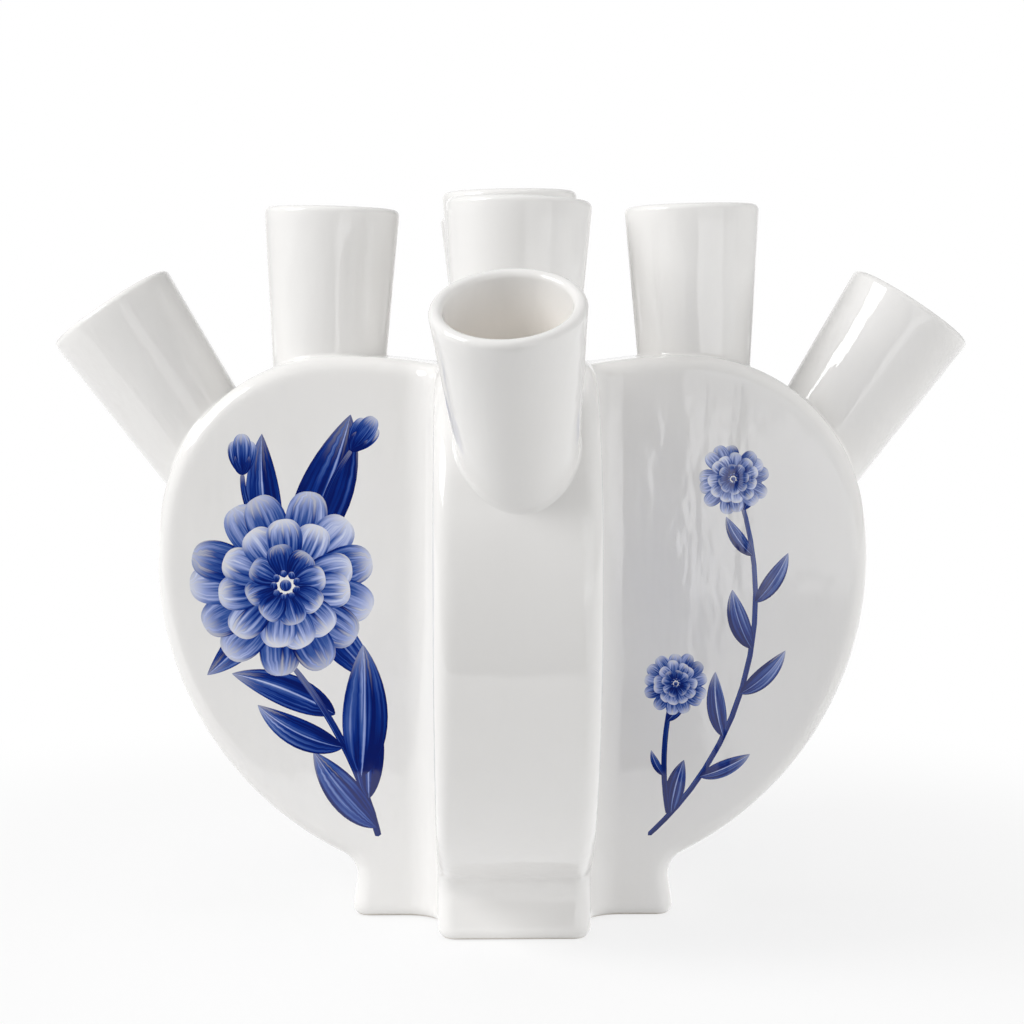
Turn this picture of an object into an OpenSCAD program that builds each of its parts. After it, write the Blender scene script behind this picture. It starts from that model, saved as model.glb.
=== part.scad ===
// Tulipiere: a hollow vase of two heart-shaped slabs crossed at right angles, with nine spouts.
// Four quarter shells are luted together along the middle of the wing edges and stand on a foot tray.
// The spouts are cut to the outside of the shells and luted over holes of the same taper.
// Units are millimetres. X points right, Y to the back and Z up, with the foot's underside at z = 0.

/* [Body] */
// Distance from the middle of the vase to the widest point of a wing
wing_reach = 95.7; // [88:0.1:104]
// Thickness of a wing
wing_thickness = 40.4; // [37:0.1:46]
// Height of the widest point above the table
belly_height = 97.2; // [92:0.1:102]
// Radius of the long side curve from the shoulder to the neck
belly_radius = 89.4; // [86:0.1:93]
// Radius of the shoulder curve that carries the outer spout
shoulder_radius = 48.1; // [46:0.1:50]
// Height of the top of a wing above the table
top_height = 152.4; // [149:0.1:156]
// Radius of the shallow curve that dips from the top of a wing to the middle of the vase
dip_radius = 150; // [120:1:220]
// Radius of the rounding along the wing edges
edge_radius = 4.6; // [3:0.1:6]
// Radius of the fillet in the upright corner between two wings
corner_radius = 9; // [6:0.5:11]
// Thickness of the clay in the shells and the foot
wall = 4; // [3:0.1:4.5]

/* [Foot] */
// Distance from the middle to the end of the foot, at the table
foot_reach = 44; // [42:0.1:47]
// Height of the foot, up to the joint with the shells
foot_height = 14; // [12:0.1:15.5]
// Outward slope of the foot's ends, in degrees
foot_flare = 8.5; // [5:0.5:11]
// Radius of the soft crease between foot and wing
neck_radius = 2.5; // [1.5:0.1:5]
// Radius of the rounding along the foot's lower edges
sole_radius = 3; // [1.5:0.1:4]
// Depth of the hollow under the foot
foot_recess = 2.2; // [1:0.1:3]
// Distance from the outside of the foot to the edge of the hollow under it
standing_rim = 9; // [7.5:0.1:12]
// Thickness of the floor in the foot
floor_thickness = 4.5; // [3.5:0.1:6]

/* [Spouts] */
// Outside diameter of a spout at its mouth
mouth_diameter = 36.9; // [33:0.1:38.5]
// Thickness of a spout's wall
spout_wall = 3.3; // [2.4:0.1:4]
// Slope of the centre and inner spouts' walls from their axis, in degrees
spout_taper = 4; // [2:0.1:5]
// Length of the inner spouts on the right, back, left and front wing, from the wing's top to their mouth
inner_length = [40.6, 40.5, 39.8, 39.6]; // [30:0.1:50]
// Distance from the middle of the vase to the seat of an inner spout
inner_reach = 50.1; // [47:0.1:54]
// Tilt of the inner spouts away from the middle, in degrees
inner_tilt = -1.4; // [-3:0.1:2]
// Sideways lean of the inner spouts on the right, back, left and front wing, in degrees
inner_lean = [0, -3, 0, -1.5]; // [-5:0.5:5]
// Slope of the outer spouts' walls on the right, back, left and front wing, in degrees
outer_taper = [4, 5.5, 4, 5.5]; // [2:0.1:6]
// Length of the outer spouts on the right, back, left and front wing, from the shoulder to their mouth
outer_length = [41.5, 38, 41.5, 38]; // [30:0.1:50]
// Place of the outer spouts on the shoulder curve of the right, back, left and front wing, in degrees
outer_seat = [34, 36, 34, 36]; // [26:0.5:40]
// Tilt of the outer spouts on the right, back, left and front wing, from upright, in degrees
outer_tilt = [34, 29, 34, 29]; // [26:0.5:40]
// Sideways lean of the outer spouts on the right, back, left and front wing, in degrees
outer_lean = [0, 0, 0, 4]; // [-5:0.5:5]
// Length of the centre spout from the middle of the dip to its mouth
centre_length = 51.9; // [42:0.1:60]
// Sideways lean of the centre spout, in degrees
centre_lean = -0.8; // [-4:0.1:4]

/* [Hidden] */
// Part to draw: "all" or the name of one node
$fn = 96;
// Quarter turns from the right wing to each wing
RIGHT = 0;
BACK = 1;
LEFT = 2;
FRONT = 3;
glaze = [0.93, 0.92, 0.90];
bisque = [0.90, 0.87, 0.82];
half_thickness = wing_thickness / 2;
// Overshoot of a cutting body past the face it cuts
over = 1;
// Length of a spout's tail below its seat before it is cut to the shell
tail = 25;
// Steps in each curve of the outline and in the edge rounding
dip_steps = 8;
shoulder_steps = 14;
belly_steps = 20;
small_steps = 4;
// Bevel along the inner edges of the water space
inner_bevel = 1;
// Smallest radius that a rounding is drawn with
least_radius = 1;
// Share of the sole's rounding that is drawn, from the wing's face
steep_share = 0.75;

// Centres of the outline's curves, as [distance from the middle, height]
belly_centre = [wing_reach - belly_radius, belly_height];
shoulder_angle = asin((top_height - shoulder_radius - belly_height) / (belly_radius - shoulder_radius));
shoulder_centre = belly_centre
    + (belly_radius - shoulder_radius) * [cos(shoulder_angle), sin(shoulder_angle)];
dip_centre = [shoulder_centre[0], top_height - dip_radius];
// The neck curve touches the foot's sloping end and the belly curve from outside
neck_span = belly_radius + neck_radius;
neck_normal = [cos(foot_flare), sin(foot_flare)];
belly_to_foot = (belly_centre - [foot_reach, 0]) * neck_normal;
neck_rise = sqrt(neck_span * neck_span - pow(neck_radius - belly_to_foot, 2));
neck_centre = belly_centre + (neck_radius - belly_to_foot) * neck_normal
    + neck_rise * [sin(foot_flare), -cos(foot_flare)];
neck_angle = atan2(neck_centre[1] - belly_centre[1], neck_centre[0] - belly_centre[0]);
// Height of the top at a distance from the middle, on the dip side of the wing's top
function dip_height(r) = dip_centre[1] + sqrt(pow(dip_radius, 2) - pow(r - dip_centre[0], 2));
// Height of the floor's upper face
floor_top = foot_recess + floor_thickness;

function arc(centre, radius, from, to, steps) = [
    for (i = [0 : steps])
        let (a = from + (to - from) * i / steps)
        centre + radius * [cos(a), sin(a)]
];

// Points of a curve that goes on from the end of another one
function going_on(points) = [for (i = [1 : len(points) - 1]) points[i]];

// Rise of the rounded sole at a depth below a wing's face, once the rounding is steep enough to draw
function sole_lift(depth) =
    depth < steep_share * sole_radius
        ? sole_radius - sqrt(pow(sole_radius, 2) - pow(sole_radius - depth, 2))
        : 0;

// The outlines hold [distance from the middle, height]. They are moved inwards by an inset, and start
// and end at the middle or a little past it. The sole is raised by a lift of its own
// Upper line of half a heart, from the middle of the dip to the neck
function heart_line(inset, past) = concat(
    let (start = acos(-(dip_centre[0] + past) / (dip_radius - inset)))
        arc(dip_centre, dip_radius - inset, start, 90, dip_steps),
    going_on(arc(shoulder_centre, shoulder_radius - inset, 90, shoulder_angle, shoulder_steps)),
    going_on(arc(belly_centre, belly_radius - inset, shoulder_angle, neck_angle, belly_steps))
);

// Lower line, from the neck to the middle of the sole
function foot_line(inset, past, lift) =
    let (
        rounding = max(sole_radius - max(inset, lift), least_radius),
        height = lift + rounding,
        reach = foot_reach - (inset + rounding) / cos(foot_flare) - height * tan(foot_flare)
    )
    concat(
        arc(neck_centre, neck_radius + inset, neck_angle + 180, 180 + foot_flare, small_steps),
        arc([reach, height], rounding, foot_flare, -90, small_steps),
        [[-past, lift]]
    );

// Closed outline of half a heart with its foot
function heart_outline(inset, past, lift) =
    concat(heart_line(inset, past), going_on(foot_line(inset, past, lift)));

// Closed outline of the foot alone, with enough of the belly curve to pass the joint
function foot_outline(inset, past, lift) =
    let (
        line = foot_line(inset, past, lift),
        head = max(foot_height, line[0][1]) + over,
        head_angle = asin((head - belly_centre[1]) / (belly_radius - inset)),
        rise = arc(belly_centre, belly_radius - inset, head_angle, neck_angle, small_steps)
    )
    concat([[-past, rise[0][1]]], rise, going_on(line));

// Half of a slab, from its middle plane or a little past it to its face, inset and with a rounded edge
module half_slab(outline, inset, past, rounding, steps) {
    face = half_thickness - inset;
    turns = [for (i = [0 : steps]) 90 * i / steps];
    rings = concat(
        [[for (p = outline(inset, past, inset)) [p[0], -past, p[1]]]],
        [for (a = turns)
            let (depth = rounding * (1 - sin(a)), lift = max(inset, sole_lift(inset + depth)))
            [for (p = outline(inset + rounding * (1 - cos(a)), past, lift)) [p[0], face - depth, p[1]]]
        ]
    );
    count = len(rings[0]);
    layers = len(rings);
    polyhedron(
        points = [for (ring = rings) each ring],
        faces = concat(
            [[for (k = [0 : count - 1]) k]],
            [for (j = [0 : layers - 2], k = [0 : count - 1])
                [j * count + (k + 1) % count, j * count + k, (j + 1) * count + k]],
            [for (j = [0 : layers - 2], k = [0 : count - 1])
                [j * count + (k + 1) % count, (j + 1) * count + k, (j + 1) * count + (k + 1) % count]],
            [[for (k = [count - 1 : -1 : 0]) (layers - 1) * count + k]]
        )
    );
}

// Clay that fills the upright corner between the right and the back wing
module corner_web() {
    head = dip_height(half_thickness - edge_radius);
    axis = half_thickness + corner_radius;
    side = corner_radius + edge_radius;
    flare = corner_radius + sole_radius;
    sole = arc([flare, sole_radius], sole_radius, 270, 180, small_steps);
    crown = arc([side, head - edge_radius], edge_radius, 180, 90, small_steps);
    difference() {
        translate([half_thickness - edge_radius, half_thickness - edge_radius, 0]) cube([side, side, head]);
        translate([axis, axis, 0])
            rotate_extrude()
                polygon(concat(
                    [[0, -over], [flare, -over]],
                    sole,
                    crown,
                    [[side, head + over], [0, head + over]]
                ));
    }
}

// Outside of the quarter between the right and the back wing, filled
module quarter_outside(outline) {
    half_slab(outline, 0, 0, edge_radius, small_steps);
    mirror([1, -1, 0]) half_slab(outline, 0, 0, edge_radius, small_steps);
    corner_web();
}

// Water space of the same quarter, which reaches a little past the seams
module quarter_inside(outline) {
    half_slab(outline, wall, over, inner_bevel, 1);
    mirror([1, -1, 0]) half_slab(outline, wall, over, inner_bevel, 1);
}

// The right wing with square edges, which gives the seats of the spouts
module seat_block() {
    rotate([90, 0, 0]) linear_extrude(wing_thickness, center = true) polygon(heart_outline(0, 0, 0));
}

module at_inner(wing) {
    rotate(90 * wing)
        translate([inner_reach, 0, top_height])
            rotate([inner_lean[wing], inner_tilt, 0]) children();
}

module at_outer(wing) {
    seat = shoulder_centre + shoulder_radius * [cos(outer_seat[wing]), sin(outer_seat[wing])];
    rotate(90 * wing)
        translate([seat[0], 0, seat[1]])
            rotate([outer_lean[wing], outer_tilt[wing], 0]) children();
}

module at_centre() {
    translate([0, 0, dip_height(0)]) rotate([0, centre_lean, 0]) children();
}

// Tapered tube with a rounded lip, its seat at z = 0
module tube(length, taper) {
    slope = tan(taper);
    lip = spout_wall / 2;
    mouth = mouth_diameter / 2;
    root = mouth - slope * (length + tail);
    rotate_extrude()
        polygon(concat(
            [[root - spout_wall, -tail], [root, -tail]],
            arc([mouth - lip, length - lip], lip, 0, 180, 2 * small_steps)
        ));
}

// Hole of a tube's taper, from the water space through the shell
module bore(length, taper) {
    slope = tan(taper);
    low = mouth_diameter / 2 - spout_wall - slope * (length + tail);
    high = mouth_diameter / 2 - spout_wall - slope * (length - tail);
    translate([0, 0, -tail]) cylinder(h = 2 * tail, r1 = low, r2 = high);
}

// One quarter of the body, between a wing and the next one counter-clockwise from above
module shell(wing) {
    following = (wing + 1) % 4;
    heart = function(inset, past, lift) heart_outline(inset, past, lift);
    span = wing_reach + 2 * over;
    difference() {
        rotate(90 * wing)
            difference() {
                quarter_outside(heart);
                quarter_inside(heart);
                translate([-over, -over, -over]) cube([span, span, foot_height + over]);
            }
        at_inner(wing) bore(inner_length[wing], spout_taper);
        at_inner(following) bore(inner_length[following], spout_taper);
        at_outer(wing) bore(outer_length[wing], outer_taper[wing]);
        at_outer(following) bore(outer_length[following], outer_taper[following]);
        at_centre() bore(centre_length, spout_taper);
    }
}

module inner_spout(wing) {
    difference() {
        at_inner(wing) tube(inner_length[wing], spout_taper);
        rotate(90 * wing) seat_block();
    }
}

module outer_spout(wing) {
    difference() {
        at_outer(wing) tube(outer_length[wing], outer_taper[wing]);
        rotate(90 * wing) seat_block();
    }
}

module front_left_shell() color(glaze) shell(LEFT);
module front_right_shell() color(glaze) shell(FRONT);
module back_left_shell() color(glaze) shell(BACK);
module back_right_shell() color(glaze) shell(RIGHT);

module foot() {
    sole = function(inset, past, lift) foot_outline(inset, past, lift);
    span = 2 * (foot_reach + wing_thickness);
    color(bisque)
        difference() {
            for (wing = [RIGHT : FRONT]) rotate(90 * wing) quarter_outside(sole);
            for (wing = [RIGHT : FRONT]) rotate(90 * wing)
                intersection() {
                    quarter_inside(sole);
                    translate([-over, -over, floor_top]) cube([span, span, top_height]);
                }
            translate([-span / 2, -span / 2, foot_height]) cube([span, span, top_height]);
            for (turn = [0, 90]) rotate(turn)
                translate([standing_rim - foot_reach, standing_rim - half_thickness, -over])
                    cube([
                        2 * (foot_reach - standing_rim),
                        2 * (half_thickness - standing_rim),
                        foot_recess + over
                    ]);
        }
}

module centre_spout() {
    color(glaze)
        difference() {
            at_centre() tube(centre_length, spout_taper);
            for (wing = [RIGHT : FRONT]) rotate(90 * wing) seat_block();
        }
}

module left_inner_spout() color(glaze) inner_spout(LEFT);
module right_inner_spout() color(glaze) inner_spout(RIGHT);
module front_inner_spout() color(glaze) inner_spout(FRONT);
module back_inner_spout() color(glaze) inner_spout(BACK);
module left_outer_spout() color(glaze) outer_spout(LEFT);
module right_outer_spout() color(glaze) outer_spout(RIGHT);
module front_outer_spout() color(glaze) outer_spout(FRONT);
module back_outer_spout() color(glaze) outer_spout(BACK);

foot();
front_left_shell();
front_right_shell();
back_left_shell();
back_right_shell();
centre_spout();
left_inner_spout();
right_inner_spout();
front_inner_spout();
back_inner_spout();
left_outer_spout();
right_outer_spout();
front_outer_spout();
back_outer_spout();
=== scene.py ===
"""Looks of a tulipiere: a white glazed vase of two crossed hearts with nine spouts and blue flowers.

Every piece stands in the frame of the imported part, in metres: X right, Y back, Z up, foot at z = 0.
The shells and the foot are cut from one smooth distance function, so their seams meet without a step.
"""
import itertools
import math
import random

import bmesh
import bpy
import numpy as np
from mathutils.geometry import delaunay_2d_cdt
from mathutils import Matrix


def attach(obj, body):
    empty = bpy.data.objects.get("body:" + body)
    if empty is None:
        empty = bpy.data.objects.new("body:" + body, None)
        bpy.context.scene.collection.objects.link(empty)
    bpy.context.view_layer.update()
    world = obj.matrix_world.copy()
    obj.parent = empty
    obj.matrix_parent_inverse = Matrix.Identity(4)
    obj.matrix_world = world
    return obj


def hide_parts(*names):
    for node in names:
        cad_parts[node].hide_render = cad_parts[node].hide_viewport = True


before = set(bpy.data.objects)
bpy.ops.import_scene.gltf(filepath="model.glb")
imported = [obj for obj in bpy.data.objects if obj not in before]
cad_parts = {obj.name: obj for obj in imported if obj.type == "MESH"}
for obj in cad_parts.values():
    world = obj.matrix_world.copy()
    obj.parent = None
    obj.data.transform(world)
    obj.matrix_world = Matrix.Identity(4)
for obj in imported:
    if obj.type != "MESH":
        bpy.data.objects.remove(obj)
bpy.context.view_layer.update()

# Sizes of the body, in metres
WING_REACH = 0.0957
HALF_THICKNESS = 0.0202
BELLY_HEIGHT = 0.0972
BELLY_RADIUS = 0.0894
SHOULDER_RADIUS = 0.0481
TOP_HEIGHT = 0.1524
DIP_RADIUS = 0.150
EDGE_RADIUS = 0.0046
CORNER_RADIUS = 0.009
WALL = 0.004

# Sizes of the foot, with its flare in degrees. Glaze fills out the hollow above it, the neck.
FOOT_REACH = 0.044
FOOT_HEIGHT = 0.014
FOOT_FLARE = 8.5
NECK_RADIUS = 0.007
SOLE_RADIUS = 0.003
FOOT_RECESS = 0.0022
STANDING_RIM = 0.009
FLOOR_TOP = 0.0067

# Sizes of the spouts, with angles in degrees, for the right, back, left and front wing where they differ
WINGS = ("right", "back", "left", "front")
MOUTH_RADIUS = 0.01845
SPOUT_WALL = 0.0033
SPOUT_TAPER = 4
INNER_LENGTH = (0.0406, 0.0405, 0.0398, 0.0396)
INNER_REACH = 0.0501
INNER_TILT = -1.4
INNER_LEAN = (0, -3, 0, -1.5)
OUTER_TAPER = (4, 5.5, 4, 5.5)
OUTER_LENGTH = (0.0415, 0.038, 0.0415, 0.038)
OUTER_SEAT = (34, 36, 34, 36)
OUTER_TILT = (34, 29, 34, 29)
OUTER_LEAN = (0, 0, 0, 4)
CENTRE_LENGTH = 0.0519
CENTRE_LEAN = -0.8
# Radius of the soft crease of slip and glaze around the base of a spout
BASE_FILLET = 0.0011
# Step between a spout's own bore and the wider hole in the shell, and the hole's reach to either side
BORE_CLEARANCE = 0.0003
BORE_REACH = 0.02

# Grid step of the body's surface, and the cells and length of overlap past a seam before it is cut
STEP = 0.00125
OVERLAP = 3
OVERLAP_REACH = (OVERLAP - 0.5) * STEP


def unit(degrees):
    """Direction at an angle in a plane."""
    angle = math.radians(degrees)
    return np.array([math.cos(angle), math.sin(angle)])


# Centres of the outline's curves, as distance from the middle and height
slope_rise = TOP_HEIGHT - SHOULDER_RADIUS - BELLY_HEIGHT
SHOULDER_ANGLE = math.degrees(math.asin(slope_rise / (BELLY_RADIUS - SHOULDER_RADIUS)))
BELLY_CENTRE = np.array([WING_REACH - BELLY_RADIUS, BELLY_HEIGHT])
SHOULDER_CENTRE = BELLY_CENTRE + (BELLY_RADIUS - SHOULDER_RADIUS) * unit(SHOULDER_ANGLE)
DIP_CENTRE = np.array([SHOULDER_CENTRE[0], TOP_HEIGHT - DIP_RADIUS])
neck_span = BELLY_RADIUS + NECK_RADIUS
neck_step = NECK_RADIUS - (BELLY_CENTRE - [FOOT_REACH, 0]) @ unit(FOOT_FLARE)
neck_drop = math.sqrt(neck_span ** 2 - neck_step ** 2)
NECK_CENTRE = BELLY_CENTRE + neck_step * unit(FOOT_FLARE) + neck_drop * unit(FOOT_FLARE - 90)
NECK_ANGLE = math.degrees(math.atan2(*(NECK_CENTRE - BELLY_CENTRE)[::-1]))
DIP_BOTTOM = DIP_CENTRE[1] + math.sqrt(DIP_RADIUS ** 2 - DIP_CENTRE[0] ** 2)

# Arcs of the outline: centre, radius, first and last angle, and 1 for a bulge or -1 for a hollow
OUTLINE_ARCS = (
    (DIP_CENTRE, DIP_RADIUS, 90, 120, 1),
    (SHOULDER_CENTRE, SHOULDER_RADIUS, SHOULDER_ANGLE, 90, 1),
    (BELLY_CENTRE, BELLY_RADIUS, NECK_ANGLE, SHOULDER_ANGLE, 1),
    (NECK_CENTRE, NECK_RADIUS, NECK_ANGLE + 180, 180 + FOOT_FLARE, -1),
)


def heart_distance(reach, height):
    """Signed distance to the outline of half a heart with its foot's sloping end, negative inside."""
    nearest = np.full(reach.shape, 1.0)
    for centre, radius, first, last, bulge in OUTLINE_ARCS:
        across = reach - centre[0]
        up = height - centre[1]
        middle = unit((first + last) / 2)
        turned = np.arctan2(middle[0] * up - middle[1] * across, middle[0] * across + middle[1] * up)
        distance = bulge * (np.hypot(across, up) - radius)
        met = np.abs(turned) <= math.radians((last - first) / 2)
        nearest = np.where(met & (np.abs(distance) < np.abs(nearest)), distance, nearest)
    end = unit(FOOT_FLARE)
    along = height * end[0] - (reach - FOOT_REACH) * end[1]
    length = (NECK_CENTRE - [FOOT_REACH, 0]) @ np.array([-end[1], end[0]])
    distance = (reach - FOOT_REACH) * end[0] + height * end[1]
    return np.where((along <= length) & (np.abs(distance) < np.abs(nearest)), distance, nearest)


def soft_max(first, second, width):
    """Larger of two values, with a smooth change from one to the other."""
    overlap = np.maximum(width - np.abs(first - second), 0)
    return np.maximum(first, second) + overlap ** 2 / (4 * width)


def round_union(first, second, radius):
    """Distance to two joined bodies with a fillet between them."""
    corner = np.hypot(np.maximum(radius - first, 0), np.maximum(radius - second, 0))
    return np.maximum(radius, np.minimum(first, second)) - corner


def round_meet(first, second, radius):
    """Distance to what two bodies share, with a rounded edge."""
    one = first + radius
    two = second + radius
    corner = np.hypot(np.maximum(one, 0), np.maximum(two, 0))
    return np.minimum(np.maximum(one, two), 0) + corner - radius


def heart_and_plan(points):
    """Distances to the upright outline and to the cross-shaped plan."""
    x = np.abs(points[:, 0])
    y = np.abs(points[:, 1])
    heart = heart_distance(soft_max(x, y, CORNER_RADIUS), points[:, 2])
    plan = round_union(x - HALF_THICKNESS, y - HALF_THICKNESS, CORNER_RADIUS)
    return heart, plan


def rounded_body(heart, plan, height):
    """Distance to the outside of the body and the foot, from those to its outline and plan."""
    return round_meet(round_meet(heart, plan, EDGE_RADIUS), -height, SOLE_RADIUS)


def body_outside(points):
    """Distance to the outside of the body and the foot."""
    return rounded_body(*heart_and_plan(points), points[:, 2])


def rotation(axis, degrees):
    """Matrix of a turn about the x, y or z axis."""
    c, s = unit(degrees)
    rows = {
        "x": ((1, 0, 0), (0, c, -s), (0, s, c)),
        "y": ((c, 0, s), (0, 1, 0), (-s, 0, c)),
        "z": ((c, -s, 0), (s, c, 0), (0, 0, 1)),
    }
    return np.array(rows[axis])


class Spout:
    """A tapered tube: its seat on the body, the directions of its axes, its length and its taper."""

    def __init__(self, seat, directions, length, taper):
        self.seat = np.array(seat)
        self.directions = directions
        self.length = length
        self.slope = math.tan(math.radians(taper))

    def radius(self, along):
        """Outside radius at a height above the seat."""
        return MOUTH_RADIUS - self.slope * (self.length - along)

    def place(self, turn, radius, along):
        """Points on the object, from angle, radius and height about the spout's axis."""
        local = np.stack([radius * np.cos(turn), radius * np.sin(turn), along], -1)
        return self.seat + local @ self.directions.T

    def bore(self, points):
        """Distance to the hole that the spout leads through."""
        local = (points - self.seat) @ self.directions
        radius = self.radius(local[:, 2]) - SPOUT_WALL
        around = np.hypot(local[:, 0], local[:, 1]) - radius - BORE_CLEARANCE
        return np.maximum(around, np.abs(local[:, 2]) - BORE_REACH)


def make_spouts():
    """The nine spouts by the name of their CAD node."""
    upright = rotation("y", CENTRE_LEAN)
    spouts = {"centre_spout": Spout((0, 0, DIP_BOTTOM), upright, CENTRE_LENGTH, SPOUT_TAPER)}
    for turn, wing in enumerate(WINGS):
        about = rotation("z", 90 * turn)
        inner = about @ rotation("y", INNER_TILT) @ rotation("x", INNER_LEAN[turn])
        seat = about @ (INNER_REACH, 0, TOP_HEIGHT)
        spouts[wing + "_inner_spout"] = Spout(seat, inner, INNER_LENGTH[turn], SPOUT_TAPER)
        outer = about @ rotation("y", OUTER_TILT[turn]) @ rotation("x", OUTER_LEAN[turn])
        reach, height = SHOULDER_CENTRE + SHOULDER_RADIUS * unit(OUTER_SEAT[turn])
        seat = about @ (reach, 0, height)
        spouts[wing + "_outer_spout"] = Spout(seat, outer, OUTER_LENGTH[turn], OUTER_TAPER[turn])
    return spouts


SPOUTS = make_spouts()


def body_solid(points):
    """Distance to the clay of the body, less the water space, the holes and the hollow underneath."""
    heart, plan = heart_and_plan(points)
    height = points[:, 2]
    solid = rounded_body(heart, plan, height)
    water = np.maximum(np.maximum(heart, plan) + WALL, FLOOR_TOP - height)
    solid = np.maximum(solid, -water)
    x = np.abs(points[:, 0])
    y = np.abs(points[:, 1])
    reach = FOOT_REACH - STANDING_RIM
    width = HALF_THICKNESS - STANDING_RIM
    hollow = np.minimum(np.maximum(x - reach, y - width), np.maximum(y - reach, x - width))
    solid = np.maximum(solid, -np.maximum(hollow, height - FOOT_RECESS))
    for spout in SPOUTS.values():
        solid = np.maximum(solid, -spout.bore(points))
    return solid


def slopes(distance, points):
    """Gradient of a distance function."""
    nudge = 1e-5
    columns = []
    for axis in np.eye(3) * nudge:
        columns.append((distance(points + axis) - distance(points - axis)) / (2 * nudge))
    return np.stack(columns, -1)


# Passes that bring a point onto the surface, and the least squared slope that a pass reckons with
SETTLE_PASSES = 3
LEAST_SLOPE = 0.25


def settle(points, distance):
    """Points moved onto the zero level of a distance function."""
    for _ in range(SETTLE_PASSES):
        gradient = slopes(distance, points)
        size = np.maximum((gradient ** 2).sum(1), LEAST_SLOPE)
        move = -gradient * (distance(points) / size)[:, None]
        points = points + np.clip(move, -STEP / 2, STEP / 2)
    return points


# The grid stands half a step up, so that none of its nodes lies on the level sole
GRID_SHIFT = np.array([0, 0, 0.5])
# Corners of a grid cell, and the directions of its edges
CELL_CORNERS = np.array(list(itertools.product((0, 1), repeat=3)))
CELL_AXES = np.eye(3, dtype=int)


def crossed_cells(inside):
    """Grid cells that the surface passes through, and a number for each of them, or -1 for the rest."""
    size = np.array(inside.shape) - 1
    filled = np.zeros(size, dtype=int)
    for i, j, k in CELL_CORNERS:
        filled += inside[i:i + size[0], j:j + size[1], k:k + size[2]]
    active = (filled > 0) & (filled < len(CELL_CORNERS))
    number = np.full(active.shape, -1)
    number[active] = np.arange(active.sum())
    return np.argwhere(active), number


def cell_points(values, cells):
    """Middle of the places where the surface crosses each cell's edges, in grid steps."""
    total = np.zeros(cells.shape)
    hits = np.zeros(len(cells))
    for start in CELL_CORNERS:
        for axis in CELL_AXES:
            if start @ axis:
                continue
            low = values[tuple((cells + start).T)]
            high = values[tuple((cells + start + axis).T)]
            crossed = (low < 0) != (high < 0)
            part = low[crossed] / (low[crossed] - high[crossed])
            total[crossed] += cells[crossed] + start + part[:, None] * axis
            hits[crossed] += 1
    return total / hits[:, None]


def cell_quads(inside, number):
    """Quads that join the four cells around each crossed edge of the grid, facing outwards."""
    size = np.array(number.shape)
    quads = []
    for axis in range(3):
        one = CELL_AXES[(axis + 1) % 3]
        two = CELL_AXES[(axis + 2) % 3]
        low = np.take(inside, range(inside.shape[axis] - 1), axis)
        high = np.take(inside, range(1, inside.shape[axis]), axis)
        edges = np.argwhere(low != high)
        for step in (one, two):
            edges = edges[(edges @ step > 0) & (edges @ step < size @ step)]
        around = np.stack([number[tuple((edges - step).T)] for step in (0 * one, one, one + two, two)], 1)
        outward = low[tuple(edges.T)]
        quads.append(np.where(outward[:, None], around, around[:, ::-1]))
    return np.concatenate(quads)


def surface_mesh(distance, first, last):
    """A bmesh of the zero level of a distance, on grid nodes with the given whole-number ends."""
    axes = [np.arange(a, b + 1) + shift for a, b, shift in zip(first, last, GRID_SHIFT)]
    nodes = np.stack(np.meshgrid(*axes, indexing="ij"), -1)
    values = distance(nodes.reshape(-1, 3) * STEP).reshape(nodes.shape[:3])
    inside = values < 0
    cells, number = crossed_cells(inside)
    points = (cell_points(values, cells) + np.array(first) + GRID_SHIFT) * STEP
    mesh = bmesh.new()
    verts = [mesh.verts.new(point) for point in settle(points, distance)]
    for quad in cell_quads(inside, number):
        mesh.faces.new([verts[i] for i in quad]).smooth = True
    mesh.normal_update()
    return mesh


def cut(mesh, place, outward):
    """Cuts a closed bmesh at a plane, drops what lies outward of it and closes it with a flat face."""
    geometry = mesh.verts[:] + mesh.edges[:] + mesh.faces[:]
    found = bmesh.ops.bisect_plane(mesh, geom=geometry, dist=1e-7, plane_co=place, plane_no=outward,
                                   clear_outer=True)
    edges = [e for e in found["geom_cut"] if isinstance(e, bmesh.types.BMEdge)]
    filled = bmesh.ops.triangle_fill(mesh, use_beauty=True, edges=edges, normal=outward)
    for edge in edges:
        edge.smooth = False
    for face in filled["geom"]:
        if isinstance(face, bmesh.types.BMFace):
            face.smooth = False


def finish_piece(mesh, node, material):
    """Turns a bmesh into a piece that stands for a CAD node."""
    name = "glazed_" + node
    data = bpy.data.meshes.new(name)
    mesh.to_mesh(data)
    mesh.free()
    data.materials.append(material)
    piece = bpy.data.objects.new(name, data)
    bpy.context.scene.collection.objects.link(piece)
    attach(piece, "root")
    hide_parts(node)


# The quarter shells, and the signs of x and y in each
QUARTERS = {
    "back_right_shell": (1, 1),
    "back_left_shell": (-1, 1),
    "front_left_shell": (-1, -1),
    "front_right_shell": (1, -1),
}


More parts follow.
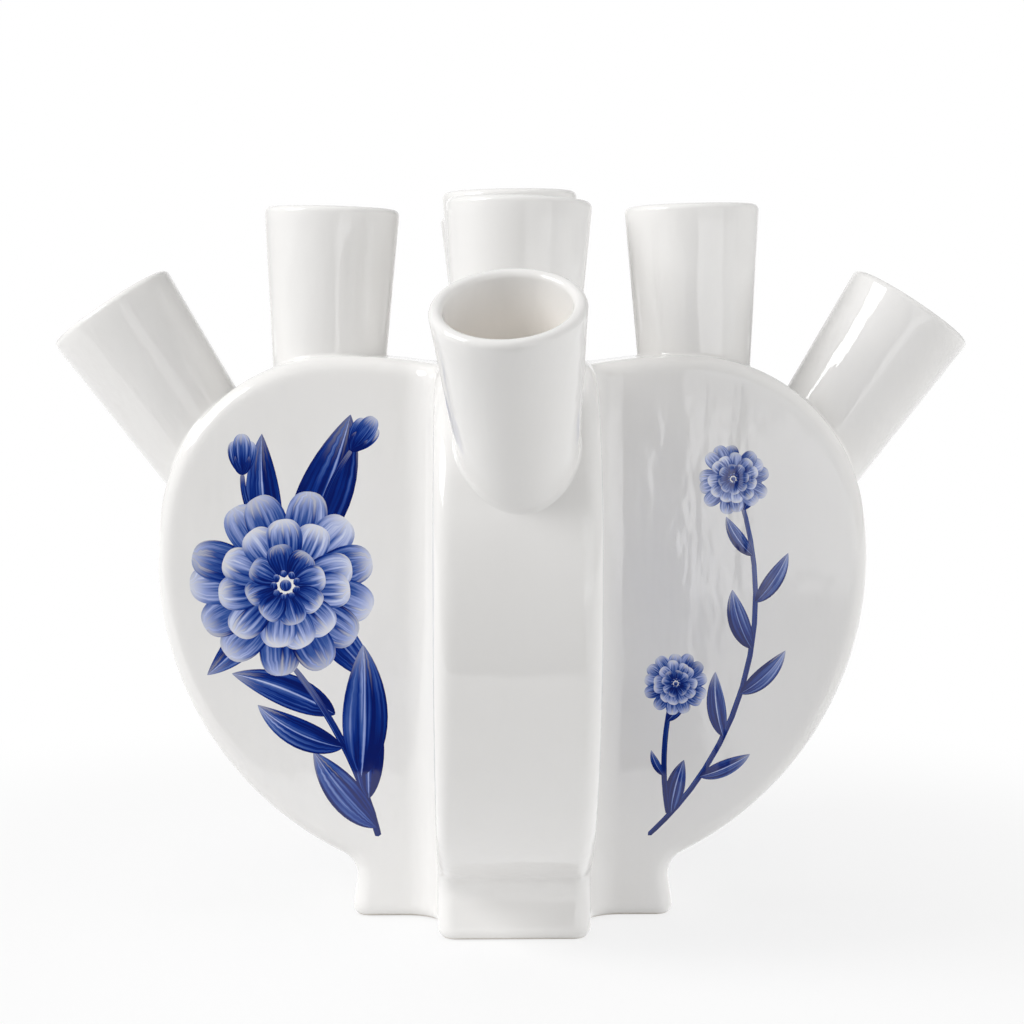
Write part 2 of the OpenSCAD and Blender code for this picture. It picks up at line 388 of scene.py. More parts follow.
def make_shell(node, seed, material):
    """One quarter of the body, between the seams and above the foot, painted on its two flat sides."""
    side_x, side_y = QUARTERS[node]
    reach = math.ceil(WING_REACH / STEP) + 1
    bottom = math.floor(FOOT_HEIGHT / STEP) - OVERLAP
    top = math.ceil(TOP_HEIGHT / STEP) + 1

    def quarter(points):
        past_seam = np.maximum(-points[:, 0] * side_x, -points[:, 1] * side_y) - OVERLAP_REACH
        below = FOOT_HEIGHT - OVERLAP_REACH - points[:, 2]
        return np.maximum(body_solid(points), np.maximum(past_seam, below))

    ends = [sorted((-OVERLAP * side, reach * side)) for side in (side_x, side_y)]
    mesh = surface_mesh(quarter, (ends[0][0], ends[1][0], bottom), (ends[0][1], ends[1][1], top))
    cut(mesh, (0, 0, 0), (-side_x, 0, 0))
    cut(mesh, (0, 0, 0), (0, -side_y, 0))
    cut(mesh, (0, 0, FOOT_HEIGHT), (0, 0, -1))
    mesh.loops.layers.float_vector.new("brush")
    mesh.loops.layers.float_color.new("look")
    draw = random.Random(seed)
    designs = [rich_design(draw), light_design(draw)]
    if side_x != side_y:
        designs.reverse()
    paint_panel(mesh, Panel(0, side_x, side_y), designs[0])
    paint_panel(mesh, Panel(1, side_y, side_x), designs[1])
    finish_piece(mesh, node, material)


def make_foot(material):
    """The foot tray, below the shells."""
    reach = math.ceil(FOOT_REACH / STEP) + 1
    top = math.ceil(FOOT_HEIGHT / STEP) + OVERLAP

    def tray(points):
        return np.maximum(body_solid(points), points[:, 2] - FOOT_HEIGHT - OVERLAP_REACH)

    mesh = surface_mesh(tray, (-reach, -reach, -2), (reach, reach, top))
    cut(mesh, (0, 0, FOOT_HEIGHT), (0, 0, 1))
    finish_piece(mesh, "foot", material)


# The decoration is laid out in millimetres: distance from the vase's middle along a wing, and height.
MILLIMETRES = 1000
# Room between a painted panel and the rounded surfaces around it
PANEL_MARGIN = 1.5 * STEP
# How fast a stroke swells from its start and thins towards its end
PETAL = (0.75, 0.4)
LEAF = (0.7, 0.9)
STEM = (0.05, 0.12)
DOT = (0.5, 0.5)
# Points along each side of a stroke, its least bend in degrees and its least half width
SIDE_POINTS = 20
LEAST_BEND = 0.1
LEAST_WIDTH = 0.05


class Stroke:
    """A brush stroke along an arc: its start, direction, size and shape, and its strength of colour."""

    def __init__(self, base, heading, length, width, bend, swell, tones, rib, seed):
        self.heading = math.radians(heading)
        self.bend = math.radians(bend if abs(bend) > LEAST_BEND else LEAST_BEND)
        self.width = width
        self.swell = swell
        # Strength of the colour at the start, at the end and of the middle rib, and a number of its own
        self.look = (tones[0], tones[1], rib, seed)
        self.radius = length / self.bend
        self.centre = np.array(base) + self.radius * unit(heading + 90)

    def spine(self, along):
        """Points on the middle line, and the directions to the left of it."""
        turned = self.heading + self.bend * np.asarray(along)
        left = np.stack([-np.sin(turned), np.cos(turned)], -1)
        return self.centre - self.radius * left, left

    def half_width(self, along):
        """Half of the stroke's width at a share of its length."""
        rise, fall = self.swell
        widest = rise / (rise + fall)
        return self.width / 2 * (along / widest) ** rise * ((1 - along) / (1 - widest)) ** fall

    def drawn(self):
        """Corners of the stroke, counter-clockwise from its start, and points on its middle line."""
        along = (1 - np.cos(np.linspace(0, math.pi, SIDE_POINTS))) / 2
        middle, left = self.spine(along)
        offset = self.half_width(along)[:, None] * left
        return list((middle - offset)[:-1]) + list((middle + offset)[:0:-1]), list(middle[1:-1])

    def local(self, point):
        """How far a point lies along the stroke, from 0 to 1, and across it, from -1 to 1."""
        inward = self.centre - point
        size = math.copysign(math.hypot(*inward), self.radius)
        turned = math.atan2(-inward[0] / size, inward[1] / size) - self.heading
        along = min(max(math.remainder(turned, 2 * math.pi) / self.bend, 0), 1)
        across = (self.radius - size) / max(self.half_width(along), LEAST_WIDTH)
        return along, min(max(across, -1), 1)


# Leaves: least and most width as a share of the length, and strength of colour at the tip and of the rib
LEAF_WIDTH = (0.27, 0.35)
LEAF_TIP = (0.45, 0.8)
LEAF_RIB = 0.5
# Least and most angle of a leaf to the stem of a sprig, and its bend there, in degrees
LEAF_ANGLE = (35, 50)
LEAF_BEND = (15, 35)
# Room before the first leaf of a sprig and after the last, in steps between leaves
LEAF_ROOM = 0.7
# Rings of petals of a flower: count, start, end and width as shares of its radius, and strength at the tips
PETAL_RINGS = ((13, 0.2, 1, 0.42, 0.25), (11, 0.12, 0.72, 0.37, 0.1), (8, 0.08, 0.44, 0.28, 0.3))
# Petals: most sway and bend in degrees, and least and most share of length and of strength at both ends
PETAL_SWAY = 6
PETAL_BEND = 18
PETAL_LENGTH = (0.86, 1)
PETAL_START = (0.95, 1.2)
PETAL_TIP = (0.5, 1.5)
# Small dots around a flower's middle: their count, and their ring and size as shares of its radius
CENTRE_DOTS = 9
DOT_RING = 0.12
DOT_SIZE = 0.07
# Size of the dot in the middle itself, as a share of the flower's radius
MIDDLE_DOT = 0.12
# Petals of a bud: turn in degrees and length as a share of the bud's, and width as a share of their length
BUD_PETALS = ((-24, 0.85), (24, 0.85), (0, 1))
BUD_PETAL_WIDTH = 0.45
# Leaves of a bud: turn in degrees, and width as a share of their length
BUD_LEAVES = (-40, 40)
BUD_LEAF_WIDTH = 0.32


def leaf(base, heading, length, bend, draw):
    """A pointed leaf with a middle rib."""
    width = length * draw.uniform(*LEAF_WIDTH)
    tones = (1, draw.uniform(*LEAF_TIP))
    return Stroke(base, heading, length, width, bend, LEAF, tones, LEAF_RIB, draw.random())


def berry(place, size, draw):
    """A round dot."""
    return Stroke(place - np.array([0, size / 2]), 90, size, size, 0, DOT, (1, 0.5), 0, draw.random())


def bloom(centre, radius, draw):
    """A round flower: rings of petals and a ring of dots, from the lowest stroke to the highest."""
    strokes = []
    for count, start, end, share, tip in PETAL_RINGS:
        first = draw.uniform(0, 360)
        width = radius * share
        for k in range(count):
            heading = first + 360 * k / count + draw.uniform(-PETAL_SWAY, PETAL_SWAY)
            length = radius * (end - start) * draw.uniform(*PETAL_LENGTH)
            base = centre + radius * start * unit(heading)
            tones = (draw.uniform(*PETAL_START), tip * draw.uniform(*PETAL_TIP))
            bend = draw.uniform(-PETAL_BEND, PETAL_BEND)
            strokes.append(Stroke(base, heading, length, width, bend, PETAL, tones, 0, draw.random()))
    for k in range(CENTRE_DOTS):
        place = centre + radius * DOT_RING * unit(360 * k / CENTRE_DOTS)
        strokes.append(berry(place, radius * DOT_SIZE, draw))
    strokes.append(berry(centre, radius * MIDDLE_DOT, draw))
    return strokes


def bud(base, heading, length, draw):
    """A closed flower of three petals over two small leaves."""
    strokes = []
    for turn, share in BUD_PETALS:
        size = length * share
        width = size * BUD_PETAL_WIDTH
        tones = (1.1, 0.3)
        strokes.append(Stroke(base, heading + turn, size, width, -turn, PETAL, tones, 0, draw.random()))
    for turn in BUD_LEAVES:
        size = length / 2
        width = size * BUD_LEAF_WIDTH
        tones = (1, 0.8)
        strokes.append(Stroke(base, heading + turn, size, width, -turn, LEAF, tones, 0, draw.random()))
    return strokes


def stalk(base, heading, length, width, bend, draw):
    """A curved stem."""
    return Stroke(base, heading, length, width, bend, STEM, (1, 0.75), 0, draw.random())


def sprig(base, heading, length, bend, sizes, draw):
    """A stem with leaves to either side, of the given sizes from its start to its end, and its tip."""
    stem = stalk(base, heading, length, 1.5, bend, draw)
    strokes = [stem]
    for k, size in enumerate(sizes):
        along = (k + LEAF_ROOM) / (len(sizes) - 1 + 2 * LEAF_ROOM)
        side = -1 if k % 2 else 1
        direction = heading + bend * along + side * draw.uniform(*LEAF_ANGLE)
        strokes.append(leaf(stem.spine(along)[0], direction, size, -side * draw.uniform(*LEAF_BEND), draw))
    return strokes, stem.spine(1)[0]


def rich_design(draw):
    """A large flower over leaves and buds, for one side of each wing."""
    strokes = []
    for base, heading, length, bend in (
            ((59, 98), 120, 42, -16),
            ((64, 98), 76, 34, 18),
            ((55, 88), 240, 30, -18),
            ((65, 86), -58, 26, 20),
            ((48, 56), 32, 30, -20),
    ):
        strokes.append(leaf(base, heading, length, bend, draw))
    strokes.append(stalk((36.5, 22.5), 76, 52, 2, -24, draw))
    for base, heading, length, bend in (
            ((37, 25), 44, 27, 14),
            ((39, 33), 88, 29, 8),
            ((46, 47), 10, 26, 34),
            ((41, 39), 96, 36, -10),
    ):
        strokes.append(leaf(base, heading, length, bend, draw))
    for base, heading, length, bend in (((51, 112), 108, 17, 18), ((70, 110), 66, 11, 24)):
        stem = stalk(base, heading, length, 1.6, bend, draw)
        strokes.append(stem)
        strokes += bud(stem.spine(1)[0], heading + bend, 11, draw)
    return strokes + bloom(np.array((61, 91)), 26.5, draw)


def light_design(draw):
    """A thin curved sprig with two small flowers, for the other side of each wing."""
    strokes, tip = sprig((36.5, 22.5), 42, 106, 70, (15, 15, 18, 17, 17, 16, 13, 12), draw)
    strokes += bloom(tip, 10, draw)
    side, side_tip = sprig((42, 28.5), 100, 36, -26, (8, 10), draw)
    strokes += side
    strokes += bloom(side_tip, 9, draw)
    return strokes


class Panel:
    """A wing's flat side: the axis along the wing, the sign of its reach and the sign that it faces."""

    def __init__(self, wing, side, out):
        self.wing = wing
        self.side = side
        self.out = out

    def layout(self, vert):
        """Place of a vertex in the layout."""
        return np.array([vert.co[self.wing] * self.side, vert.co[2]]) * MILLIMETRES

    def point(self, place):
        """Point on the object at a place in the layout."""
        point = [0, 0, place[1] / MILLIMETRES]
        point[self.wing] = self.side * place[0] / MILLIMETRES
        point[1 - self.wing] = self.out * HALF_THICKNESS
        return point

    def faces(self, mesh):
        """Faces of the flat side, inside its rounded edges."""
        mesh.verts.index_update()
        points = np.array([v.co for v in mesh.verts])
        reach = points[:, self.wing] * self.side
        flat = np.abs(points[:, 1 - self.wing] * self.out - HALF_THICKNESS) < 1e-6
        flat &= reach > HALF_THICKNESS + CORNER_RADIUS + PANEL_MARGIN
        flat &= heart_distance(reach, points[:, 2]) < -EDGE_RADIUS - PANEL_MARGIN
        flat &= points[:, 2] > FOOT_HEIGHT + PANEL_MARGIN
        return [f for f in mesh.faces if all(flat[v.index] for v in f.verts)]

    def ring(self, faces):
        """Vertices around the faces, counter-clockwise in the layout."""
        patch = set(faces)
        after = {}
        for face in faces:
            for loop in face.loops:
                if loop.link_loop_radial_next.face not in patch:
                    after[loop.vert] = loop.link_loop_next.vert
        ring = [next(iter(after))]
        while after[ring[-1]] is not ring[0]:
            ring.append(after[ring[-1]])
        corners = [self.layout(vert) for vert in ring]
        area = sum(a[0] * b[1] - a[1] * b[0] for a, b in zip(corners, corners[1:] + corners[:1]))
        return ring if area > 0 else ring[::-1]


def divide(corners, strokes):
    """Triangles of a panel with the outlines and middle lines of its strokes as edges.

    Gives the places, the triangles, the corners that each place comes from, and the polygons that each
    triangle lies in: 0 is the panel, and stroke k is polygon k + 1.
    """
    corners = list(corners)
    polygons = [list(range(len(corners)))]
    ribs = []
    for stroke in strokes:
        outline, middle = stroke.drawn()
        start = len(corners)
        first = start + len(outline)
        polygons.append(list(range(start, first)))
        line = [start, *range(first, first + len(middle)), start + SIDE_POINTS - 1]
        ribs += zip(line, line[1:])
        corners += outline + middle
    places, _, triangles, sources, _, owners = delaunay_2d_cdt(corners, ribs, polygons, 1, 1e-4, True)
    return places, triangles, sources, owners


def paint_panel(mesh, panel, strokes):
    """Remakes a wing's flat side with the strokes in its faces, and marks what each face shows."""
    brush = mesh.loops.layers.float_vector["brush"]
    look = mesh.loops.layers.float_color["look"]
    faces = panel.faces(mesh)
    ring = panel.ring(faces)
    bmesh.ops.delete(mesh, geom=faces, context="FACES")
    places, triangles, sources, owners = divide([panel.layout(vert) for vert in ring], strokes)
    verts = []
    for place, source in zip(places, sources):
        kept = [i for i in source if i < len(ring)]
        verts.append(ring[kept[0]] if kept else mesh.verts.new(panel.point(place)))
    for triangle, owner in zip(triangles, owners):
        if 0 not in owner:
            continue
        face = mesh.faces.new([verts[i] for i in triangle])
        face.smooth = True
        face.normal_update()
        if face.normal[1 - panel.wing] * panel.out < 0:
            face.normal_flip()
        top = max(owner)
        if top == 0:
            continue
        stroke = strokes[top - 1]
        for loop in face.loops:
            loop[brush] = (*stroke.local(panel.layout(loop.vert)), 1)
            loop[look] = stroke.look


# Rows of a spout's surface round the lip, down the bore, up the fillet and up the side, and steps around it
LIP_ROWS = 14
BORE_ROWS = 12
FILLET_ROWS = 8
SIDE_ROWS = 12
TURN_STEPS = 144
# Depth to which the edge of a spout's fillet is let into the body, and depth of the hidden row under it
TUCK = 0.00012
DEEP_TUCK = 3 * TUCK
# Lowest height at which a spout's side can meet the body, from its seat, and halvings that find the height
LOWEST_SEAT = -0.03
HALVINGS = 40
# Share of the bore's depth at which the painted light inside it, a lighter and warmer glaze colour, is full
BORE_LIGHT_DEPTH = 1 / 3


def height_at(spout, turn, extra, level):
    """Height above the seat at which a spout's side, moved outwards, lies at a level above the body."""
    low = np.full(turn.shape, LOWEST_SEAT)
    high = np.full(turn.shape, spout.length)
    for _ in range(HALVINGS):
        middle = (low + high) / 2
        points = spout.place(turn, spout.radius(middle) + extra, middle)
        above = body_outside(points) > level
        high = np.where(above, middle, high)
        low = np.where(above, low, middle)
    return high


def spout_rows(spout):
    """Rings of points on a spout's surface: round the lip, down the bore, up the fillet and the side."""
    turn = np.arange(TURN_STEPS) * 2 * math.pi / TURN_STEPS
    lip = SPOUT_WALL / 2
    shoulder = spout.length - lip
    rows = []
    for k in range(LIP_ROWS + 1):
        across, up = lip * unit(180 * k / LIP_ROWS)
        radius = np.full(TURN_STEPS, spout.radius(shoulder) - lip + across)
        rows.append(spout.place(turn, radius, np.full(TURN_STEPS, shoulder + up)))
    bore_foot = height_at(spout, turn, -SPOUT_WALL, 0)
    for k in range(1, BORE_ROWS + 1):
        along = shoulder + (bore_foot - shoulder) * k / BORE_ROWS
        rows.append(spout.place(turn, spout.radius(along) - SPOUT_WALL, along))
    fillet = [(BASE_FILLET, -DEEP_TUCK)]
    for k in range(FILLET_ROWS + 1):
        around, beside = unit(90 * k / FILLET_ROWS)
        fillet.append((BASE_FILLET * (1 - beside), BASE_FILLET * (1 - around) - TUCK))
    for extra, above in fillet:
        along = height_at(spout, turn, extra, above)
        rows.append(spout.place(turn, spout.radius(along) + extra, along))
    side_foot = height_at(spout, turn, 0, BASE_FILLET - TUCK)
    for k in range(1, SIDE_ROWS):
        along = side_foot + (shoulder - side_foot) * k / SIDE_ROWS
        rows.append(spout.place(turn, spout.radius(along), along))
    return rows


def make_spout(node, material):
    """A spout with a rounded lip, and a small fillet where it is luted to the body."""
    mesh = bmesh.new()
    depth = mesh.verts.layers.float.new("bore_painted_light")
    rows = [[mesh.verts.new(point) for point in row] for row in spout_rows(SPOUTS[node])]
    # Rows down the bore carry the share of painted light, a lighter and warmer colour that is full a third
    # of the way down
    for k in range(BORE_ROWS + 1):
        for vert in rows[LIP_ROWS + k]:
            vert[depth] = min(k / BORE_ROWS / BORE_LIGHT_DEPTH, 1)
    for upper, lower in zip(rows, rows[1:] + rows[:1]):
        for k in range(TURN_STEPS):
            after = (k + 1) % TURN_STEPS
            mesh.faces.new((upper[k], upper[after], lower[after], lower[k])).smooth = True
    bore_end = LIP_ROWS + BORE_ROWS
    for row in rows[bore_end:bore_end + 3]:
        for k in range(TURN_STEPS):
            mesh.edges.get((row[k], row[(k + 1) % TURN_STEPS])).smooth = False
    bmesh.ops.recalc_face_normals(mesh, faces=mesh.faces[:])
    finish_piece(mesh, node, material)


def calc(tree, operation, *values):
    """Result of a maths node, whose inputs are sockets or numbers."""
    node = tree.nodes.new("ShaderNodeMath")
    node.operation = operation
    for socket, value in zip(node.inputs, values):
        if isinstance(value, bpy.types.NodeSocket):
            tree.links.new(value, socket)
        else:
            socket.default_value = value
    return node.outputs[0]


def ease(tree, value, low, high, first=0, last=1):
    """Smooth change from a first to a last number, as a value goes from low to high."""
    node = tree.nodes.new("ShaderNodeMapRange")
    node.interpolation_type = "SMOOTHSTEP"
    for name, number in (("From Min", low), ("From Max", high), ("To Min", first), ("To Max", last)):
        node.inputs[name].default_value = number
    tree.links.new(value, node.inputs["Value"])
    return node.outputs["Result"]


def noise(tree, place, scale, detail):
    """Random clouds from 0 to 1, with about this many to the unit."""
    node = tree.nodes.new("ShaderNodeTexNoise")
    node.inputs["Scale"].default_value = scale
    node.inputs["Detail"].default_value = detail
    tree.links.new(place, node.inputs["Vector"])
    return node.outputs[0]


def blend(tree, factor, first, second):
    """Colour between two colours, each a socket or numbers."""
    node = tree.nodes.new("ShaderNodeMix")
    node.data_type = "RGBA"
    tree.links.new(factor, node.inputs["Factor"])
    for name, value in (("A", first), ("B", second)):
        if isinstance(value, bpy.types.NodeSocket):
            tree.links.new(value, node.inputs[name])
        else:
            node.inputs[name].default_value = (*value, 1)
    return node.outputs["Result"]


def parts(tree, vector):
    """The three numbers of a vector."""
    node = tree.nodes.new("ShaderNodeSeparateXYZ")
    tree.links.new(vector, node.inputs[0])
    return node.outputs[0], node.outputs[1], node.outputs[2]


# Colours of the clear glaze over white clay where it is thin and where it is thick, and in the bores a
# lighter, warmer colour that is painted light for the light bounced inside them
THIN_GLAZE = (0.805, 0.794, 0.777)
THICK_GLAZE = (0.835, 0.827, 0.814)
BORE_PAINTED_LIGHT = (0.92, 0.885, 0.84)
# Colours of bare clay, from its light to its dark grains
BARE_CLAY = (0.66, 0.61, 0.54)
DARK_CLAY = [0.9 * part for part in BARE_CLAY]
# Clouds of colour, clouds of gloss, runs, ripples and grains of clay to the metre
COLOUR_CLOUDS = 30
GLOSS_CLOUDS = 55
RUNS = 75
RIPPLES = 380
CLAY_GRAINS = 900
# Stretch of the runs, share of the ripples in the waves, and height of the waves in metres
RUN_STRETCH = (1, 1, 0.35)
RIPPLE_SHARE = 0.012
WAVE_HEIGHT = 0.0004
# Roughness of the glaze over a span of its clouds of gloss: the span's ends, and least and most
GLOSS = (0.3, 0.7, 0.035, 0.07)
# Share of bare clay over a span of upward facing: the span's ends, and most and least
BARE_SOLE = (-0.9, -0.6, 1, 0)
# Roughness of the glaze on the foot, and what bare clay adds to it
FOOT_GLOSS = 0.06
CLAY_ROUGHNESS = 0.7
# Blue from a thin wash to a full brush: strength and colour
BLUES = (
    (0.0, (0.62, 0.67, 0.84)),
    (0.25, (0.305, 0.376, 0.679)),
    (0.55, (0.045, 0.102, 0.352)),
    (0.8, (0.0015, 0.026, 0.223)),
    (1.0, (0.0005, 0.008, 0.115)),
)
# Hairs of the brush along and across a stroke, and the spread of all strokes in the pattern of the hairs
HAIRS_ALONG = 0.8
HAIRS_ACROSS = 5
STROKE_SPREAD = 60
# Clouds in the wash to the metre, and how much hairs and wash change the strength of the blue
WASH_CLOUDS = 90
HAIR_STRENGTH = 1.6
WASH_STRENGTH = 0.35
# Changes of strength over a span across a stroke: the span's ends, and the first and last change
STROKE_EDGE = (0.75, 0.97, 0, 0.15)
RIB_HALVES = (-0.08, 0.08, -0.2, 0.2)
RIB_VEIN = (0.02, 0.1, -1, 0)
# How far hairs fray the end of a stroke, and the white there over a span along it: its ends, least and most
END_HAIRS = 0.9
WHITE_END = (0.75, 1.05, 0, 0.85)


def make_glaze(name):
    """White glazed clay: the material, its tree, its shader, its colour and the place on the object."""
    material = bpy.data.materials.new(name)
    material.use_nodes = True
    tree = material.node_tree
    shader = tree.nodes["Principled BSDF"]
    place = tree.nodes.new("ShaderNodeTexCoord").outputs["Object"]
    colour = blend(tree, noise(tree, place, COLOUR_CLOUDS, 2), THIN_GLAZE, THICK_GLAZE)
    stretched = tree.nodes.new("ShaderNodeVectorMath")
    stretched.operation = "MULTIPLY"
    stretched.inputs[1].default_value = RUN_STRETCH
    tree.links.new(place, stretched.inputs[0])
    runs = noise(tree, stretched.outputs[0], RUNS, 3)
    waves = calc(tree, "MULTIPLY_ADD", noise(tree, place, RIPPLES, 1), RIPPLE_SHARE, runs)
    bump = tree.nodes.new("ShaderNodeBump")
    bump.inputs["Strength"].default_value = 1
    bump.inputs["Distance"].default_value = WAVE_HEIGHT
    tree.links.new(waves, bump.inputs["Height"])
    tree.links.new(bump.outputs["Normal"], shader.inputs["Normal"])
    gloss = ease(tree, noise(tree, place, GLOSS_CLOUDS, 2), *GLOSS)
    tree.links.new(gloss, shader.inputs["Roughness"])
    tree.links.new(colour, shader.inputs["Base Color"])
    return material, tree, shader, colour, place


def blue_ramp(tree, strength):
    """Blue of a strength, from a thin wash to a full brush."""
    ramp = tree.nodes.new("ShaderNodeValToRGB")
    tree.links.new(strength, ramp.inputs["Fac"])
    stops = ramp.color_ramp.elements
    for level, _ in BLUES[1:-1]:
        stops.new(level)
    for stop, (level, colour) in zip(stops, BLUES):
        stop.position = level
        stop.color = (*colour, 1)
    return ramp.outputs["Color"]


def make_painted_glaze():
    """The glaze with brush strokes under it, read from the marks on the painted faces."""
    material, tree, shader, white, place = make_glaze("painted_glaze")
    marks = []
    for name in ("brush", "look"):
        node = tree.nodes.new("ShaderNodeAttribute")
        node.attribute_name = name
        marks.append(node)
    along, across, cover = parts(tree, marks[0].outputs["Vector"])
    start, end, rib = parts(tree, marks[1].outputs["Vector"])
    own_number = marks[1].outputs["Alpha"]
    side = calc(tree, "ABSOLUTE", across)
    hairs = tree.nodes.new("ShaderNodeCombineXYZ")
    for socket, value, scale in zip(
            hairs.inputs, (along, across, own_number), (HAIRS_ALONG, HAIRS_ACROSS, STROKE_SPREAD)):
        tree.links.new(calc(tree, "MULTIPLY", value, scale), socket)
    streak = calc(tree, "SUBTRACT", noise(tree, hairs.outputs[0], 1, 4), 0.5)
    wash = calc(tree, "SUBTRACT", noise(tree, place, WASH_CLOUDS, 2), 0.5)
    fall = calc(tree, "SUBTRACT", end, start)
    strength = calc(tree, "MULTIPLY_ADD", fall, along, start)
    strength = calc(tree, "MULTIPLY_ADD", streak, HAIR_STRENGTH, strength)
    strength = calc(tree, "MULTIPLY_ADD", wash, WASH_STRENGTH, strength)
    strength = calc(tree, "ADD", strength, ease(tree, side, *STROKE_EDGE))
    middle = calc(tree, "ADD", ease(tree, across, *RIB_HALVES), ease(tree, side, *RIB_VEIN))
    strength = calc(tree, "MULTIPLY_ADD", rib, middle, strength)
    frayed = calc(tree, "MULTIPLY_ADD", streak, END_HAIRS, along)
    faded = calc(tree, "SUBTRACT", 1, end)
    bare = calc(tree, "MULTIPLY", ease(tree, frayed, *WHITE_END), faded)
    shown = calc(tree, "SUBTRACT", cover, bare)
    tree.links.new(blend(tree, shown, white, blue_ramp(tree, strength)), shader.inputs["Base Color"])
    return material


def make_spout_glaze():
    """The glaze, with painted light inside the bore: a lighter, warmer colour for the light bounced there.
    """
    material, tree, shader, white, _ = make_glaze("spout_glaze")
    depth = tree.nodes.new("ShaderNodeAttribute")
    depth.attribute_name = "bore_painted_light"
    # Painted light: the bore's glaze is lighter and warmer, for light bounced inside it
    inside = blend(tree, depth.outputs["Fac"], white, BORE_PAINTED_LIGHT)
    tree.links.new(inside, shader.inputs["Base Color"])
    return material


def make_foot_glaze():
    """The glaze, with bare matt clay where the foot faces down."""
    material, tree, shader, white, place = make_glaze("foot_glaze")
    facing = parts(tree, tree.nodes.new("ShaderNodeNewGeometry").outputs["Normal"])[2]
    bare = ease(tree, facing, *BARE_SOLE)
    clay = blend(tree, noise(tree, place, CLAY_GRAINS, 3), BARE_CLAY, DARK_CLAY)
    tree.links.new(blend(tree, bare, white, clay), shader.inputs["Base Color"])
    roughness = calc(tree, "MULTIPLY_ADD", bare, CLAY_ROUGHNESS, FOOT_GLOSS)
    tree.links.new(roughness, shader.inputs["Roughness"])
    return material


# Camera: lens and sensor in millimetres, least distance and place in metres, dip and turn in degrees
LENS = 77.42
SENSOR = 36
NEAREST_SEEN = 0.01
CAMERA_PLACE = (-0.00966, -0.60713, 0.16307)
CAMERA_DIP = 5.1
CAMERA_TURN = -0.91

# Size of the floor
FLOOR_SIZE = 6
# Painted light pool: the floor's paper is lighter near the middle, standing in for a brightly lit table
# there. Its brightness over a span of distance from the middle: the span's ends, first and last
PAPER_LIGHT_POOL = (0.1, 0.25, 0.85, 0.6)
# Share of plain white that the camera sees of the floor, in the same form
PLAIN_WHITE = (0.06, 0.3, 0.75, 1)
# In reflections the floor is bright behind a front edge, and in a wedge on the right with a slanting side
TABLE_FRONT = -0.205
TABLE_SIDE = 0.049
TABLE_SLANT = 0.1
FRONT_BLUR = 0.01
SIDE_BLUR = 0.005
TABLE_GLOW = 1.2
# Brightness of the studio in reflections, over spans from front to back, and what a white backdrop adds
DARK_STUDIO = 0.08
STUDIO = (-0.8, -0.2, DARK_STUDIO, 0.45)
BACKDROP = (0.82, 0.97, 0, 0.55)
# Soft light on the vase, over a span from front to back and one from left to right
FRONT_LIGHT = (-1, -0.4, 1, 0.14)
LEFT_LIGHT = (-0.9, -0.3, 0.36, 0)

# Lamps: place, aim, width, height, power, whether it lights matt surfaces and whether reflections show it
VASE_MIDDLE = (0, 0, 0.14)
LAMPS = {
    "key_lamp": ((-0.92, -0.335, 0.8), VASE_MIDDLE, 0.6, 0.55, 9.8, True, True),
    "right_lamp": ((1.2, -0.2, 0.36), VASE_MIDDLE, 1.1, 0.7, 7.8, True, False),
    "top_lamp": ((0, 0.1, 1.3), VASE_MIDDLE, 1, 1, 3.4, True, False),
    "back_lamp": ((0.3, 1.2, 0.15), VASE_MIDDLE, 1.2, 0.3, 6, True, False),
    "right_card": ((0.545, -0.75, 0.2), (0.545, 0, 0.2), 0.84, 0.4, 1.27, False, True),
}


def make_camera():
    """The camera of the photograph: its place, its aim and its focal length."""
    data = bpy.data.cameras.new("camera")
    data.sensor_width = SENSOR
    data.lens = LENS
    data.clip_start = NEAREST_SEEN
    camera = bpy.data.objects.new("camera", data)
    camera.location = CAMERA_PLACE
    camera.rotation_euler = (math.radians(90 - CAMERA_DIP), 0, math.radians(CAMERA_TURN))
    bpy.context.scene.collection.objects.link(camera)
    bpy.context.scene.camera = camera


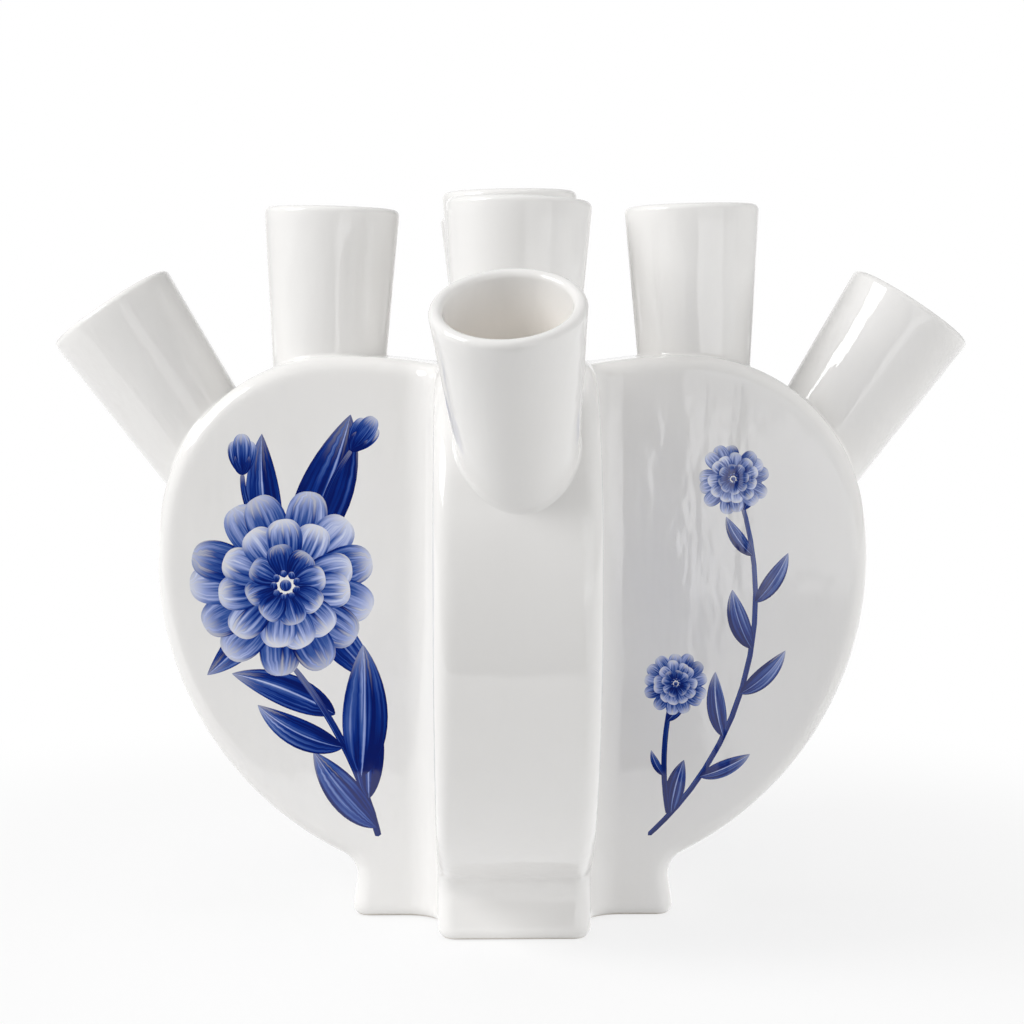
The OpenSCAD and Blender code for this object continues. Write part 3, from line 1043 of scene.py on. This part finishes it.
def make_paper():
    """White paper, painted lighter near the vase as a pool of light, that keeps a faint shadow near the
    vase and shows as a bright table in reflections.
    """
    material = bpy.data.materials.new("white_floor")
    material.use_nodes = True
    tree = material.node_tree
    tree.nodes.clear()
    output = tree.nodes.new("ShaderNodeOutputMaterial")
    paper = tree.nodes.new("ShaderNodeBsdfDiffuse")
    white = tree.nodes.new("ShaderNodeEmission")
    glow = tree.nodes.new("ShaderNodeEmission")
    path = tree.nodes.new("ShaderNodeLightPath")
    place = tree.nodes.new("ShaderNodeTexCoord").outputs["Object"]
    length = tree.nodes.new("ShaderNodeVectorMath")
    length.operation = "LENGTH"
    tree.links.new(place, length.inputs[0])
    away = length.outputs["Value"]
    # Painted light: the paper is lighter near the vase, for a pool of light on the table there
    tree.links.new(ease(tree, away, *PAPER_LIGHT_POOL), paper.inputs["Color"])
    right, backward, _ = parts(tree, place)
    behind = ease(tree, backward, TABLE_FRONT - FRONT_BLUR, TABLE_FRONT)
    beside = calc(tree, "MULTIPLY_ADD", backward, TABLE_SLANT, right)
    wedge = ease(tree, beside, TABLE_SIDE, TABLE_SIDE + SIDE_BLUR)
    table = calc(tree, "MAXIMUM", behind, wedge)
    tree.links.new(ease(tree, table, 0, 1, DARK_STUDIO, TABLE_GLOW), glow.inputs["Strength"])
    seen = calc(tree, "MULTIPLY", path.outputs["Is Camera Ray"], ease(tree, away, *PLAIN_WHITE))
    seen = calc(tree, "MAXIMUM", seen, path.outputs["Is Transmission Ray"])
    shown = paper.outputs[0]
    for share, light in ((seen, white), (path.outputs["Is Glossy Ray"], glow)):
        mix = tree.nodes.new("ShaderNodeMixShader")
        tree.links.new(share, mix.inputs[0])
        tree.links.new(shown, mix.inputs[1])
        tree.links.new(light.outputs[0], mix.inputs[2])
        shown = mix.outputs[0]
    tree.links.new(shown, output.inputs["Surface"])
    return material


def make_floor():
    """The floor that the vase stands on."""
    bpy.ops.mesh.primitive_plane_add(size=FLOOR_SIZE)
    floor = bpy.context.object
    floor.name = "floor"
    floor.data.materials.append(make_paper())


def make_world():
    """A white background, soft light on the vase, and a studio that shows in its reflections."""
    world = bpy.data.worlds.new("studio")
    bpy.context.scene.world = world
    world.use_nodes = True
    tree = world.node_tree
    path = tree.nodes.new("ShaderNodeLightPath")
    sideways, backward, _ = parts(tree, tree.nodes.new("ShaderNodeTexCoord").outputs["Generated"])
    studio = calc(tree, "ADD", ease(tree, backward, *STUDIO), ease(tree, backward, *BACKDROP))
    soft = calc(tree, "ADD", ease(tree, backward, *FRONT_LIGHT), ease(tree, sideways, *LEFT_LIGHT))
    colour = blend(tree, path.outputs["Is Glossy Ray"], soft, studio)
    clear = calc(tree, "MAXIMUM", path.outputs["Is Camera Ray"], path.outputs["Is Transmission Ray"])
    tree.links.new(blend(tree, clear, colour, (1, 1, 1)), tree.nodes["Background"].inputs["Color"])


def add_lamp(name, place, aim, width, height, power, lights, shows):
    """A soft lamp that shines from a place towards an aim."""
    data = bpy.data.lights.new(name, "AREA")
    data.shape = "RECTANGLE"
    data.size = width
    data.size_y = height
    data.energy = power
    lamp = bpy.data.objects.new(name, data)
    lamp.location = place
    direction = np.array(aim) - np.array(place)
    lamp.rotation_euler = (
        math.atan2(math.hypot(direction[0], direction[1]), -direction[2]),
        0,
        math.atan2(direction[1], direction[0]) - math.pi / 2,
    )
    lamp.visible_diffuse = lights
    lamp.visible_glossy = shows
    bpy.context.scene.collection.objects.link(lamp)


bpy.context.scene.view_settings.view_transform = "Standard"
make_camera()
make_floor()
make_world()
for name, settings in LAMPS.items():
    add_lamp(name, *settings)
painted_glaze = make_painted_glaze()
for seed, node in enumerate(QUARTERS):
    make_shell(node, seed, painted_glaze)
make_foot(make_foot_glaze())
spout_glaze = make_spout_glaze()
for node in SPOUTS:
    make_spout(node, spout_glaze)
